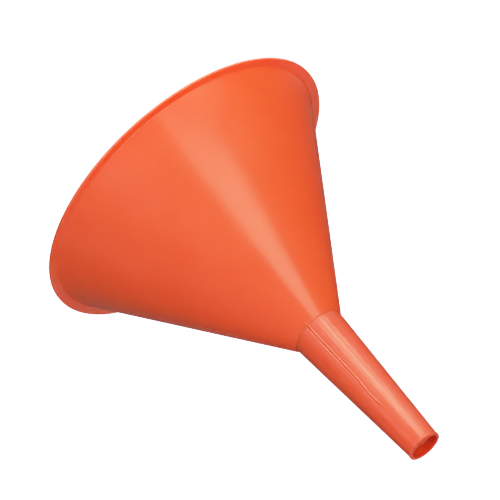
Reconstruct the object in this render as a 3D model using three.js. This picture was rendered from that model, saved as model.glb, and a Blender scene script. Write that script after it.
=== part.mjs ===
// A round plastic funnel in two moulded pieces: a wide bowl with a flat rim, and a tapered spout
// pushed over the bowl's neck.
// Millimetres, +Z up. The funnel stands mouth down: the rim's flat face lies on z = 0 with its
// centre at the origin, and the spout points straight up.

import * as THREE from 'three';

// Bowl
const RIM_RADIUS = 100;
const RIM_WIDTH = 4.8;
const RIM_THICKNESS = 1.5;
const BOWL_WALL = 1.5;
const BOWL_HALF_ANGLE = THREE.MathUtils.degToRad(31.45);
const SHOULDER_HEIGHT = 128;
const BOWL_SEGMENTS = 128;

// Spout
const TIP_HEIGHT = 225.8;
const TIP_RADIUS = 10.3;
const SPOUT_HALF_ANGLE = THREE.MathUtils.degToRad(3.6);
const SPOUT_WALL = 1.4;
const TIP_BEAD_LENGTH = 2.4;
const TIP_BEAD_PROUD = 0.5;
const SPOUT_SEGMENTS = 64;

// Joint between the two: the bowl's neck stands inside the spout's wide end
const NECK_LENGTH = 10;
const NECK_WALL = 1.3;
const JOINT_GAP = 0.3;
const THROAT_ROUNDING_LENGTH = 14;
const THROAT_ROUNDING_STEPS = 6;

const bowlRadius = (height) => RIM_RADIUS - RIM_WIDTH - height * Math.tan(BOWL_HALF_ANGLE);
const bowlInnerRadius = (height) => bowlRadius(height) - BOWL_WALL / Math.cos(BOWL_HALF_ANGLE);
const spoutRadius = (height) => TIP_RADIUS + (TIP_HEIGHT - height) * Math.tan(SPOUT_HALF_ANGLE);
const spoutInnerRadius = (height) => spoutRadius(height) - SPOUT_WALL;
const neckRadius = (height) => spoutInnerRadius(height) - JOINT_GAP;
const neckInnerRadius = (height) => neckRadius(height) - NECK_WALL;

// A solid of revolution about the Z axis from a closed outline of [radius, height] pairs, given
// from the lower inner edge outward and then up the outside.
function turned(name, outline, segments, material) {
  const points = [...outline, outline[0]].map(([radius, height]) => new THREE.Vector2(radius, height));
  const geometry = new THREE.LatheGeometry(points, segments);
  geometry.rotateX(Math.PI / 2);
  const mesh = new THREE.Mesh(geometry, material);
  mesh.name = name;
  return mesh;
}

// The inside of the bowl rounds from the cone into the bore of the neck.
function throatOutline() {
  const bendHeight = SHOULDER_HEIGHT - BOWL_WALL;
  const boreHeight = SHOULDER_HEIGHT + NECK_WALL;
  const coneHeight = bendHeight - THROAT_ROUNDING_LENGTH;
  const curve = new THREE.QuadraticBezierCurve(
    new THREE.Vector2(neckInnerRadius(boreHeight), boreHeight),
    new THREE.Vector2(neckInnerRadius(bendHeight), bendHeight),
    new THREE.Vector2(bowlInnerRadius(coneHeight), coneHeight),
  );
  return curve.getPoints(THROAT_ROUNDING_STEPS).map((point) => [point.x, point.y]);
}

function bowl() {
  const neckEnd = SHOULDER_HEIGHT + NECK_LENGTH;
  const outline = [
    [bowlInnerRadius(0), 0],
    [RIM_RADIUS, 0],
    [RIM_RADIUS, RIM_THICKNESS],
    [bowlRadius(RIM_THICKNESS), RIM_THICKNESS],
    [bowlRadius(SHOULDER_HEIGHT), SHOULDER_HEIGHT],
    [neckRadius(SHOULDER_HEIGHT), SHOULDER_HEIGHT],
    [neckRadius(neckEnd), neckEnd],
    [neckInnerRadius(neckEnd), neckEnd],
    ...throatOutline(),
  ];
  const satinPlastic = new THREE.MeshStandardMaterial({ color: 0xe8552c, roughness: 0.38, metalness: 0 });
  return turned('bowl', outline, BOWL_SEGMENTS, satinPlastic);
}

function spout() {
  const foot = SHOULDER_HEIGHT + JOINT_GAP;
  const beadFoot = TIP_HEIGHT - TIP_BEAD_LENGTH;
  const beadRadius = TIP_RADIUS + TIP_BEAD_PROUD;
  const outline = [
    [spoutInnerRadius(foot), foot],
    [spoutRadius(foot), foot],
    [spoutRadius(beadFoot), beadFoot],
    [beadRadius, beadFoot + TIP_BEAD_PROUD],
    [beadRadius, TIP_HEIGHT],
    [spoutInnerRadius(TIP_HEIGHT), TIP_HEIGHT],
  ];
  const glossPlastic = new THREE.MeshStandardMaterial({ color: 0xf05a38, roughness: 0.22, metalness: 0 });
  return turned('spout', outline, SPOUT_SEGMENTS, glossPlastic);
}

const funnel = new THREE.Group();
funnel.add(bowl(), spout());

export default funnel;
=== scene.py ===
"""A round plastic funnel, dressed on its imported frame: a wide bowl with a flat rim, and a tapered
spout pushed over the bowl's neck. Metres, +Z up along the axis; the funnel stands mouth down."""
import math

import bpy
from mathutils import Matrix, Vector, noise


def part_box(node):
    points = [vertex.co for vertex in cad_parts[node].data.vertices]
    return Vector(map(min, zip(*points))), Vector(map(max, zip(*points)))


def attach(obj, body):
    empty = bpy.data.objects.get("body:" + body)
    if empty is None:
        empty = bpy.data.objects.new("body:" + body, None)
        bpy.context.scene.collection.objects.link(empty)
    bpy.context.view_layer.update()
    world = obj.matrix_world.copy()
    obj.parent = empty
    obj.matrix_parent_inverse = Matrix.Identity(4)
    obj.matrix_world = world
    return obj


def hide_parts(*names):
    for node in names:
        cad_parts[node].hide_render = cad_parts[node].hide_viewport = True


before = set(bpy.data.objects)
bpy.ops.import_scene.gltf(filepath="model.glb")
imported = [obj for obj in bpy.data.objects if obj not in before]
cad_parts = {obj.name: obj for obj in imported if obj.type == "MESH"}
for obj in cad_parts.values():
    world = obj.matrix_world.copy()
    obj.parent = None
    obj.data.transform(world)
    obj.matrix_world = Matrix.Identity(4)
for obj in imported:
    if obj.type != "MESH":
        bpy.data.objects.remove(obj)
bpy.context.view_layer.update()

MM = 0.001

# Driving dimensions, from the frame where it has them.
RIM_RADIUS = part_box("bowl")[1].x
NECK_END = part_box("bowl")[1].z
SPOUT_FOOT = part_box("spout")[0].z
TIP_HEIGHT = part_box("spout")[1].z
SPOUT_FOOT_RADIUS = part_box("spout")[1].x

RIM_WIDTH = 4.8 * MM
RIM_THICKNESS = 1.5 * MM
BOWL_WALL = 1.5 * MM
BOWL_HALF_ANGLE = math.radians(31.45)
NECK_LENGTH = 10.0 * MM
NECK_WALL = 1.3 * MM
SPOUT_WALL = 1.4 * MM
SPOUT_HALF_ANGLE = math.radians(3.6)
TIP_BEAD_LENGTH = 1.3 * MM
TIP_BEAD_PROUD = 0.35 * MM
JOINT_GAP = 0.3 * MM
WELD_GAP = 0.08 * MM
SHOULDER_HEIGHT = NECK_END - NECK_LENGTH

# The outside of the spout's wall is slightly uneven: how far in and out, how fine round the axis and
# along it, and over what length that fades towards the bead. It and the mould lines stop short of the
# bead, PLAIN_TIP below the tip.
WAVES = 0.05 * MM
WAVES_ROUND = 3
WAVES_LENGTH = 9 * MM
WAVES_FADE = 12 * MM
PLAIN_TIP = 1.5 * TIP_BEAD_LENGTH

# Flash at the tip, reaching into the bore: its length down the bore, how far an uneven edge all round
# reaches and how fine that is, and lobes, each with its azimuth and half width in degrees and its reach.
FLASH_LENGTH = 0.8 * MM
FLASH_EDGE = 0.2 * MM
FLASH_UNEVENNESS = 2.3
FLASH_LOBES = (
    (275, 50, 1.5 * MM),
    (257, 21, 3.3 * MM),
    (225, 9, 0.5 * MM),
    (300, 9, 0.8 * MM),
    (75, 25, 0.3 * MM),
)

# The spout's two mould lines, opposite each other, where the halves of its mould met. Each has a groove
# along one side, strays sideways at WANDER_HEIGHT, fades out at MOULD_LINE_END, and has a blob of flash
# there that stands out BLOB_PROUD times as far as the line.
MOULD_LINE_AZIMUTH = math.radians(278.0)
MOULD_LINE_WIDTH = 0.45 * MM
MOULD_LINE_PROUD = 0.34 * MM
MOULD_LINE_END = 195 * MM
MOULD_LINE_FADE = 6 * MM
BLOB_PROUD = 1.3
BLOB_LENGTH = 0.9 * MM
BLOB_WIDTH = 0.7 * MM
GROOVE_AWAY = 0.85 * MM
GROOVE_WIDTH = 0.28 * MM
GROOVE_DEPTH = 0.40 * MM
WANDER_HEIGHT = 185 * MM
WANDER_LENGTH = 8 * MM
WANDER_ANGLE = math.radians(4.5)
WANDER_REACH = math.radians(25)
MOULD_LINES = (MOULD_LINE_AZIMUTH, MOULD_LINE_AZIMUTH - math.pi)
SHOULDER_FLASH_FROM = SHOULDER_HEIGHT - 2.5 * MM
SHOULDER_FLASH_FULL = SHOULDER_HEIGHT - 1.0 * MM

# How finely the meshes are divided. Columns of points stand closer across a mould line, at LINE_COLUMNS
# in widths of the line, but none closer than CLOSEST_COLUMNS in radians. SUPPORT is how far the first
# row of points on a straight stretch stands from its end.
BOWL_SIDES = 288
SPOUT_SIDES = 192
LINE_COLUMNS = (-3, -2, -1.5, -1.1, -0.7, -0.35, 0, 0.35, 0.6, 0.8, 1.0, 1.2, 1.5, 1.8, 2.1, 2.5, 3)
CLOSEST_COLUMNS = 0.002
LONGEST_STRETCH = 3.0 * MM
SUPPORT = 0.2 * MM
ROUND_STEPS = 5


def bowl_radius(height):
    return RIM_RADIUS - RIM_WIDTH - height * math.tan(BOWL_HALF_ANGLE)


def bowl_inner_radius(height):
    return bowl_radius(height) - BOWL_WALL / math.cos(BOWL_HALF_ANGLE)


def spout_radius(height):
    return SPOUT_FOOT_RADIUS - (height - SPOUT_FOOT) * math.tan(SPOUT_HALF_ANGLE)


def spout_inner_radius(height):
    return spout_radius(height) - SPOUT_WALL


def neck_radius(height):
    return spout_inner_radius(height) - JOINT_GAP


# ---------------------------------------------------------------- outlines and turned meshes


def softened(corners):
    """A closed outline of (radius, height) points from (radius, height, rounding) corners: each corner
    is cut back by its rounding along both of its sides and joined by a curve."""
    outline = []
    for index, (radius, height, rounding) in enumerate(corners):
        corner = Vector((radius, height))
        before = Vector(corners[index - 1][:2]) - corner
        after = Vector(corners[(index + 1) % len(corners)][:2]) - corner
        start = corner + before.normalized() * rounding
        end = corner + after.normalized() * rounding
        for step in range(ROUND_STEPS + 1):
            t = step / ROUND_STEPS
            outline.append(start * (1 - t) ** 2 + corner * 2 * t * (1 - t) + end * t ** 2)
    return outline


def divided(outline):
    """The outline with points added along its long stretches, and one close to each of their ends so
    that the straight faces shade flat."""
    points = []
    for index, start in enumerate(outline):
        end = outline[(index + 1) % len(outline)]
        points.append(start)
        length = (end - start).length
        if length < 4 * SUPPORT:
            continue
        count = max(1, round(length / LONGEST_STRETCH))
        shares = [SUPPORT / length] + [n / count for n in range(1, count)] + [1 - SUPPORT / length]
        points.extend(start.lerp(end, share) for share in shares)
    return points


def turned(name, outline, angles, shift):
    """A mesh object made by turning a closed outline about the Z axis. shift moves each point: it
    takes and returns (radius, height, angle)."""
    vertices = []
    for column_angle in angles:
        for point in outline:
            radius, height, angle = shift(*point, column_angle)
            vertices.append((radius * math.cos(angle), radius * math.sin(angle), height))
    rows, columns = len(outline), len(angles)
    faces = []
    for column in range(columns):
        here, there = column * rows, (column + 1) % columns * rows
        for row in range(rows):
            above = (row + 1) % rows
            faces.append((here + row, there + row, there + above, here + above))
    mesh = bpy.data.meshes.new(name)
    mesh.from_pydata(vertices, [], faces)
    mesh.polygons.foreach_set("use_smooth", [True] * len(faces))
    mesh.update()
    piece = bpy.data.objects.new(name, mesh)
    bpy.context.scene.collection.objects.link(piece)
    return piece


# ---------------------------------------------------------------- the two pieces


def bell(x):
    """1 at 0, and next to nothing beyond 2 on either side."""
    return math.exp(-x * x)


def ramp(value, start, end):
    """How far value has come from start to end: 0 before start, 1 beyond end."""
    return min(1, max(0, (value - start) / (end - start)))


def from_line(angle):
    """How far round an angle is from the nearer mould line."""
    return min((math.remainder(angle - line, 2 * math.pi) for line in MOULD_LINES), key=abs)


def wander(height, away):
    """How far the mould lines stray sideways at a height; the surface beside them goes along."""
    return WANDER_ANGLE * bell((height - WANDER_HEIGHT) / WANDER_LENGTH) * bell(away / WANDER_REACH)


def line_angles(sides):
    """Even angles, with close ones added across the two mould lines."""
    angles = {2 * math.pi * n / sides for n in range(sides)}
    line_width = MOULD_LINE_WIDTH / spout_radius(TIP_HEIGHT)
    for line in MOULD_LINES:
        angles.update(line + column * line_width for column in LINE_COLUMNS)
    spaced = []
    for angle in sorted(angle % (2 * math.pi) for angle in angles):
        if not spaced or angle - spaced[-1] > CLOSEST_COLUMNS:
            spaced.append(angle)
    return spaced


def shift_bowl(radius, height, angle):
    """The spout's mould lines run on over the bowl's shoulder for a little way, as flash."""
    if radius > bowl_radius(height) - BOWL_WALL / 2:
        foot = ramp(height, SHOULDER_FLASH_FROM, SHOULDER_FLASH_FULL)
        radius += foot * MOULD_LINE_PROUD * bell(radius * from_line(angle) / MOULD_LINE_WIDTH)
    return radius, height, angle


def make_bowl():
    """The bowl. The weld shows as a thin lip round the spout's foot."""
    bend = SHOULDER_HEIGHT - BOWL_WALL
    seat = SHOULDER_HEIGHT + WELD_GAP
    lip_top = seat + 0.12 * MM
    lip_foot = seat - 0.06 * MM
    lip_outside = spout_radius(seat) + 0.06 * MM
    lip_inside = spout_radius(seat) + 0.02 * MM
    corners = [
        (bowl_inner_radius(0), 0, 0.5 * MM),
        (RIM_RADIUS, 0, 0.3 * MM),
        (RIM_RADIUS, RIM_THICKNESS, 0.35 * MM),
        (bowl_radius(RIM_THICKNESS), RIM_THICKNESS, 0.6 * MM),
        (bowl_radius(SHOULDER_HEIGHT), SHOULDER_HEIGHT, 0.2 * MM),
        (lip_outside, lip_top, 0.04 * MM),
        (lip_inside, lip_foot, 0.03 * MM),
        (neck_radius(SHOULDER_HEIGHT), lip_foot, 0.2 * MM),
        (neck_radius(NECK_END), NECK_END, 0.4 * MM),
        (neck_radius(NECK_END) - NECK_WALL, NECK_END, 0.4 * MM),
        (neck_radius(bend) - NECK_WALL, bend, 8.0 * MM),
    ]
    return turned("bowl_shell", divided(softened(corners)), line_angles(BOWL_SIDES), shift_bowl)


def mould_line(radius, height, away):
    """How far the mould line stands out, or in where its groove is, at a distance round from it."""
    across = bell(radius * away / MOULD_LINE_WIDTH)
    length = ramp(MOULD_LINE_END - height, 0, MOULD_LINE_FADE)
    blob = bell((height - MOULD_LINE_END) / BLOB_LENGTH) * bell(radius * away / BLOB_WIDTH)
    groove = bell((radius * away - GROOVE_AWAY) / GROOVE_WIDTH)
    return MOULD_LINE_PROUD * (across * length + BLOB_PROUD * blob) - GROOVE_DEPTH * groove * length


def tip_flash(height, angle):
    """How far thin flash reaches into the bore: most at the very tip, as an uneven edge with lobes."""
    near_tip = bell((TIP_HEIGHT - height) / FLASH_LENGTH)
    around = Vector((math.cos(angle), math.sin(angle), 0.0)) * FLASH_UNEVENNESS
    reach = FLASH_EDGE * (1 + noise.noise(around))
    for azimuth, half_width, lobe in FLASH_LOBES:
        beside = math.remainder(angle - math.radians(azimuth), 2 * math.pi)
        reach += lobe * bell(beside / math.radians(half_width))
    return near_tip * reach


def shift_spout(radius, height, angle):
    """Flash on the bore's side of the wall; mould lines and waves on the outside, up to the bead."""
    away = from_line(angle)
    waves = Vector((math.cos(angle) * WAVES_ROUND, math.sin(angle) * WAVES_ROUND, height / WAVES_LENGTH))
    below_bead = TIP_HEIGHT - PLAIN_TIP - height
    if radius < spout_radius(height) - SPOUT_WALL / 2:
        radius -= tip_flash(height, angle)
    elif below_bead > 0:
        fade = ramp(below_bead, 0, WAVES_FADE)
        radius += mould_line(radius, height, away) + fade * WAVES * noise.noise(waves)
    return radius, height, angle + wander(height, away)


def make_spout():
    """The spout. Just inside its tip, the bore runs straight for a little way before its taper."""
    foot = SHOULDER_HEIGHT + WELD_GAP
    bead_foot = TIP_HEIGHT - TIP_BEAD_LENGTH
    bead_radius = spout_radius(TIP_HEIGHT) + TIP_BEAD_PROUD
    land_foot = TIP_HEIGHT - 0.4 * MM
    bore_top = TIP_HEIGHT - 3 * MM
    corners = [
        (spout_inner_radius(foot), foot, 0.2 * MM),
        (spout_radius(foot), foot, 0.12 * MM),
        (spout_radius(bead_foot), bead_foot, 0.5 * MM),
        (bead_radius, bead_foot + TIP_BEAD_PROUD, 0.25 * MM),
        (bead_radius, TIP_HEIGHT, 0.3 * MM),
        (spout_inner_radius(TIP_HEIGHT), TIP_HEIGHT, 0.15 * MM),
        (spout_inner_radius(TIP_HEIGHT), land_foot, 0.15 * MM),
        (spout_inner_radius(bore_top), bore_top, 1.0 * MM),
    ]
    return turned("spout_tube", divided(softened(corners)), line_angles(SPOUT_SIDES), shift_spout)


# ---------------------------------------------------------------- materials

# Painted glow: the brighter colour given to the inner faces, standing in for light that comes through the
# thin wall.
PAINTED_GLOW_INSIDE = (0.98, 0.09, 0.03)
# How fine the lengthwise patterns are, round the axis and along it, and the patterns without a direction.
STREAKS = (22, 7)
FINE_STREAKS = (34, 5)
SCORES = (24, 4)
MOTTLE, GRAIN = 28, 2600
# The squared score pattern turns from shiny to dull over this span.
SCORE_EDGE = (0.27, 0.36)
# The streaks and score lines are left out on the rim, and grow in over these heights.
WALL_FROM, WALL_FULL = 2.5 * MM, 8 * MM


class Nodes:
    """A short way to add nodes to one material."""

    def __init__(self, name):
        self.material = bpy.data.materials.new(name)
        self.material.use_nodes = True
        self.tree = self.material.node_tree
        self.shader = self.tree.nodes["Principled BSDF"]

    def add(self, kind, **settings):
        node = self.tree.nodes.new(kind)
        for key, value in settings.items():
            setattr(node, key, value)
        return node

    def link(self, source, target):
        self.tree.links.new(source, target)

    def math(self, operation, *values):
        node = self.add("ShaderNodeMath", operation=operation)
        for socket, value in zip(node.inputs, values):
            if isinstance(value, (int, float)):
                socket.default_value = value
            else:
                self.link(value, socket)
        return node.outputs[0]

    def place(self):
        """The point being shaded: x, y, z, and its distance from the axis."""
        split = self.add("ShaderNodeSeparateXYZ")
        self.link(self.add("ShaderNodeTexCoord").outputs["Object"], split.inputs[0])
        x, y, z = split.outputs
        squares = self.math("ADD", self.math("MULTIPLY", x, x), self.math("MULTIPLY", y, y))
        return x, y, z, self.math("SQRT", squares)

    def lengthwise(self, around, along):
        """Coordinates that stretch a pattern along the cone or tube: around sets how fine it is round
        the axis, along how fine it is up the axis."""
        x, y, z, radius = self.place()
        joined = self.add("ShaderNodeCombineXYZ")
        self.link(self.math("MULTIPLY", self.math("DIVIDE", x, radius), around), joined.inputs[0])
        self.link(self.math("MULTIPLY", self.math("DIVIDE", y, radius), around), joined.inputs[1])
        self.link(self.math("MULTIPLY", z, along), joined.inputs[2])
        return joined.outputs[0]

    def above(self, low, high):
        """A mask that grows from 0 at one height to 1 at another."""
        return self.between(self.place()[2], 0, 1, (low, high))

    def inside(self, half_angle, middle):
        """A mask that is 1 on the inner faces of a cone or tube. middle is the radius that the middle of
        its wall would have at height 0."""
        _, _, z, radius = self.place()
        leaned = self.math("ADD", radius, self.math("MULTIPLY", z, math.tan(half_angle)))
        return self.math("LESS_THAN", leaned, middle)

    def centred(self, value, mask):
        """value, which lies about 0.5, moved to lie about 0 and faded out where the mask is 0."""
        return self.math("MULTIPLY", self.math("SUBTRACT", value, 0.5), mask)

    def noise(self, place, scale, detail=3.0, roughness=0.5):
        node = self.add("ShaderNodeTexNoise")
        node.inputs["Scale"].default_value = scale
        node.inputs["Detail"].default_value = detail
        node.inputs["Roughness"].default_value = roughness
        self.link(place, node.inputs["Vector"])
        return node.outputs["Fac"]

    def between(self, value, low, high, span=(0.3, 0.7)):
        """value, which runs over span, spread from low to high."""
        node = self.add("ShaderNodeMapRange")
        self.link(value, node.inputs["Value"])
        for socket, number in zip(node.inputs[1:5], (*span, low, high)):
            socket.default_value = number
        return node.outputs["Result"]

    def colours(self, value, low, high):
        """A colour between low and high, each of them a fixed colour or another node's output."""
        node = self.add("ShaderNodeMix", data_type="RGBA")
        self.link(value, node.inputs["Factor"])
        for socket, colour in ((node.inputs[6], low), (node.inputs[7], high)):
            if isinstance(colour, tuple):
                socket.default_value = (*colour, 1)
            else:
                self.link(colour, socket)
        return node.outputs[2]

    def bump(self, *layers):
        """Bumps one over another: each layer is (height, strength, distance in metres)."""
        normal = None
        for height, strength, distance in layers:
            node = self.add("ShaderNodeBump")
            node.inputs["Strength"].default_value = strength
            node.inputs["Distance"].default_value = distance
            self.link(height, node.inputs["Height"])
            if normal:
                self.link(normal, node.inputs["Normal"])
            normal = node.outputs["Normal"]
        self.link(normal, self.shader.inputs["Normal"])


def moulded_plastic(name, colours, gloss, streaks, grain, scored, half_angle, middle):
    """Orange-red polypropylene as it leaves the mould. It wanders between its two colours and between
    the two roughnesses of gloss. streaks, grain and scored say how strong the drag streaks along the
    draw of the mould, the fine grain and the dull score lines are. The faces inside the middle of the
    wall, given as in Nodes.inside, get a painted glow: a brighter colour that stands in for light coming
    through it."""
    nodes = Nodes(name)
    place = nodes.add("ShaderNodeTexCoord").outputs["Object"]
    wall = nodes.above(WALL_FROM, WALL_FULL)
    streak = nodes.centred(nodes.noise(nodes.lengthwise(*STREAKS), 1.0, 4.0, 0.6), wall)
    fine_streak = nodes.centred(nodes.noise(nodes.lengthwise(*FINE_STREAKS), 1.0, 2.0), wall)
    score = nodes.noise(nodes.lengthwise(*SCORES), 1.0, 2.0, 0.7)
    mottle = nodes.noise(place, MOTTLE)
    fine = nodes.noise(place, GRAIN, 2.0)

    outer = nodes.colours(nodes.between(mottle, 0, 1), *colours)
    # Painted glow: the inner faces take a brighter colour that stands in for light coming through the
    # wall.
    both = nodes.colours(nodes.inside(half_angle, middle), outer, PAINTED_GLOW_INSIDE)
    nodes.link(both, nodes.shader.inputs["Base Color"])

    lines = nodes.between(nodes.math("MULTIPLY", score, score), 0, scored, SCORE_EDGE)
    lines = nodes.math("MULTIPLY", lines, wall)
    rough = nodes.math("ADD", nodes.between(mottle, *gloss), lines)
    nodes.link(rough, nodes.shader.inputs["Roughness"])

    nodes.shader.inputs["IOR"].default_value = 1.55
    nodes.shader.inputs["Subsurface Weight"].default_value = 0.8
    nodes.shader.inputs["Subsurface Radius"].default_value = (1.0, 0.35, 0.15)
    nodes.shader.inputs["Subsurface Scale"].default_value = 4 * MM
    nodes.bump(
        (streak, streaks, 0.4 * MM),
        (fine_streak, streaks, 0.28 * MM),
        (fine, grain, 0.01 * MM),
    )
    return nodes.material


def bowl_plastic():
    return moulded_plastic(
        "bowl_plastic",
        colours=((0.79, 0.088, 0.020), (0.83, 0.100, 0.026)),
        gloss=(0.22, 0.26),
        streaks=0.02,
        grain=0.3,
        scored=0.0,
        half_angle=BOWL_HALF_ANGLE,
        middle=bowl_radius(0) - BOWL_WALL / 2,
    )


def spout_plastic():
    return moulded_plastic(
        "spout_plastic",
        colours=((0.80, 0.091, 0.029), (0.84, 0.102, 0.035)),
        gloss=(0.04, 0.06),
        streaks=0.30,
        grain=0.2,
        scored=0.35,
        half_angle=SPOUT_HALF_ANGLE,
        middle=spout_radius(0) - SPOUT_WALL / 2,
    )


def finish_piece(piece, node, material):
    piece.data.materials.append(material)
    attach(piece, "root")
    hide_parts(node)


# ---------------------------------------------------------------- the photographer's table and lights

SEEN_WHITE = 2.4

FLOOR_HALF = 4.0
FLOOR_DROP = 0.05 * MM
TABLE_GREY = (0.12, 0.12, 0.12, 1)
TABLE_LIGHT = (0.88, 0.88, 1, 1)
# The table's light is TABLE_NEAR in a ring beside the rim and TABLE_FAR beyond. It changes over these
# distances in metres: from the dark half to the one in front, out of the ring, and out to its end.
TABLE_NEAR, TABLE_FAR = 2.8, 0.75
FRONT = (-0.5, -0.87)
FRONT_EDGE = (0.03, 0.10)
RING_EDGE = (0.107, 0.125)
OUTER_EDGE = (0.7, 0.9)

ROOM_DARK, ROOM_BRIGHT = 0.10, 0.36
ROOM_EDGE = (-0.15, 0.5)
ROOM_AXIS = (0.12, -0.69, 0.71)

# Soft panels of light: name, azimuth, elevation, distance, the height on the funnel's axis that it
# faces, its width and height, its brightness and its colour.
WARM = (1.0, 0.93, 0.72)
WHITE = (1.0, 1.0, 1.0)
PANELS = (
    ("strip_upper", 235, 0, 0.42, 0.36, (0.26, 0.25), 3.9, WARM),
    ("strip_lower", 229, 0, 0.38, 0.065, (0.31, 0.13), 6.0, WARM),
    ("front", 292, 3, 0.7, 0.13, (0.47, 0.20), 6.5, WHITE),
    ("top", 272, 60, 1.0, 0.15, (0.6, 0.5), 3.6, WHITE),
    ("side", 350, 0, 1.0, 0.05, (0.5, 0.25), 1.8, WHITE),
    ("back_low", 90, 0, 0.6, 0.06, (0.4, 0.12), 8.2, WHITE),
    ("back_middle", 90, 26, 1.0, 0.12, (1.0, 0.6), 0.04, WHITE),
    ("back_high", 70, 54, 1.0, 0.10, (0.7, 0.6), 0.9, WHITE),
)

VIEW_ELEVATION = math.radians(26.43)
VIEW_ROLL = math.radians(137.26)
VIEW_DISTANCE = 2.182
VIEW_LENS = 264.5
AIM_ACROSS, AIM_UP = 38.2 * MM, -37.1 * MM

# The film's response: (level of light, tone shown), and the level that is shown as white.
FILM_CURVE = ((0.35, 0.35), (0.7, 0.70), (1.0, 0.83), (1.33, 0.905), (1.65, 0.96))
WHITE_LEVEL = 2.0


def make_floor():
    mesh = bpy.data.meshes.new("floor")
    edge = FLOOR_HALF
    corners = [(-edge, -edge, 0), (edge, -edge, 0), (edge, edge, 0), (-edge, edge, 0)]
    mesh.from_pydata(corners, [], [(0, 1, 2, 3)])
    floor = bpy.data.objects.new("floor", mesh)
    bpy.context.scene.collection.objects.link(floor)
    floor.location.z = -FLOOR_DROP
    floor.data.materials.append(light_table())


def light_table():
    """The table. The camera sees it as plain white; the funnel sees it dark, lit only in front, and
    most brightly just beside the rim."""
    nodes = Nodes("light_table")
    nodes.shader.inputs["Base Color"].default_value = TABLE_GREY
    nodes.shader.inputs["Roughness"].default_value = 0.7
    nodes.shader.inputs["Emission Color"].default_value = TABLE_LIGHT
    x, y, _, radius = nodes.place()
    ahead = nodes.math("ADD", nodes.math("MULTIPLY", x, FRONT[0]), nodes.math("MULTIPLY", y, FRONT[1]))
    in_front = nodes.between(ahead, 0, 1, FRONT_EDGE)
    level = nodes.between(radius, TABLE_NEAR, TABLE_FAR, RING_EDGE)
    edge = nodes.between(radius, 1, 0, OUTER_EDGE)
    lit = nodes.math("MULTIPLY", nodes.math("MULTIPLY", in_front, level), edge)
    seen = nodes.add("ShaderNodeLightPath").outputs["Is Camera Ray"]
    white = nodes.math("MULTIPLY", seen, SEEN_WHITE)
    unseen = nodes.math("MULTIPLY", nodes.math("SUBTRACT", 1, seen), lit)
    nodes.link(nodes.math("ADD", white, unseen), nodes.shader.inputs["Emission Strength"])
    return nodes.material


def aimed(place, target):
    """The matrix that stands something at place and points its -Z axis at target."""
    turn = (target - place).to_track_quat("-Z", "Y").to_matrix().to_4x4()
    return Matrix.Translation(place) @ turn


def add_panel(name, azimuth, elevation, distance, centre, size, level, colour):
    """A soft panel of an even brightness, level, that faces the funnel's axis at height centre.
    size is its width and height."""
    light = bpy.data.lights.new(name, "AREA")
    light.shape = "RECTANGLE"
    light.size, light.size_y = size
    light.energy = level * math.pi * light.size * light.size_y
    light.color = colour
    panel = bpy.data.objects.new(name, light)
    bpy.context.scene.collection.objects.link(panel)
    turn, rise = math.radians(azimuth), math.radians(elevation)
    away = Vector((math.cos(turn) * math.cos(rise), math.sin(turn) * math.cos(rise), math.sin(rise)))
    target = Vector((0, 0, centre))
    panel.matrix_world = aimed(target + away * distance, target)
    panel.visible_camera = False


def make_lights():
    for settings in PANELS:
        add_panel(*settings)


def make_room():
    """Light from all round: a bright side above and before the funnel, a dark side behind it, and plain
    white where the camera looks past the floor."""
    world = bpy.data.worlds.new("studio")
    world.use_nodes = True
    tree = world.node_tree
    add, link = tree.nodes.new, tree.links.new
    facing = add("ShaderNodeVectorMath")
    facing.operation = "DOT_PRODUCT"
    facing.inputs[1].default_value = ROOM_AXIS
    link(add("ShaderNodeTexCoord").outputs["Generated"], facing.inputs[0])
    level = add("ShaderNodeMapRange")
    level.interpolation_type = "SMOOTHSTEP"
    link(facing.outputs["Value"], level.inputs["Value"])
    for socket, number in zip(level.inputs[1:5], (*ROOM_EDGE, ROOM_DARK, ROOM_BRIGHT)):
        socket.default_value = number
    seen = add("ShaderNodeMix")
    link(add("ShaderNodeLightPath").outputs["Is Camera Ray"], seen.inputs["Factor"])
    link(level.outputs["Result"], seen.inputs[2])
    seen.inputs[3].default_value = SEEN_WHITE
    link(seen.outputs[0], tree.nodes["Background"].inputs["Strength"])
    tree.nodes["Background"].inputs["Color"].default_value = (1, 1, 1, 1)
    bpy.context.scene.world = world


def make_camera():
    camera = bpy.data.cameras.new("camera")
    camera.lens, camera.sensor_width = VIEW_LENS, 36
    camera.clip_start, camera.clip_end = 0.05, 50
    rig = bpy.data.objects.new("camera", camera)
    bpy.context.scene.collection.objects.link(rig)
    tilt = Matrix.Rotation(math.pi / 2 - VIEW_ELEVATION, 4, "X")
    back = Matrix.Translation(Vector((AIM_ACROSS, AIM_UP, VIEW_DISTANCE)))
    rig.matrix_world = tilt @ Matrix.Rotation(VIEW_ROLL, 4, "Z") @ back
    bpy.context.scene.camera = rig


def set_film():
    """The film's response: straight up to bright tones, then a soft shoulder up to white."""
    view = bpy.context.scene.view_settings
    view.view_transform = "Standard"
    view.use_curve_mapping = True
    mapping = view.curve_mapping
    mapping.white_level = (WHITE_LEVEL, WHITE_LEVEL, WHITE_LEVEL)
    curve = mapping.curves[3]
    for level, shown in FILM_CURVE:
        curve.points.new(level / WHITE_LEVEL, shown)
    mapping.update()


make_camera()
set_film()
make_floor()
make_lights()
make_room()
finish_piece(make_bowl(), "bowl", bowl_plastic())
finish_piece(make_spout(), "spout", spout_plastic())
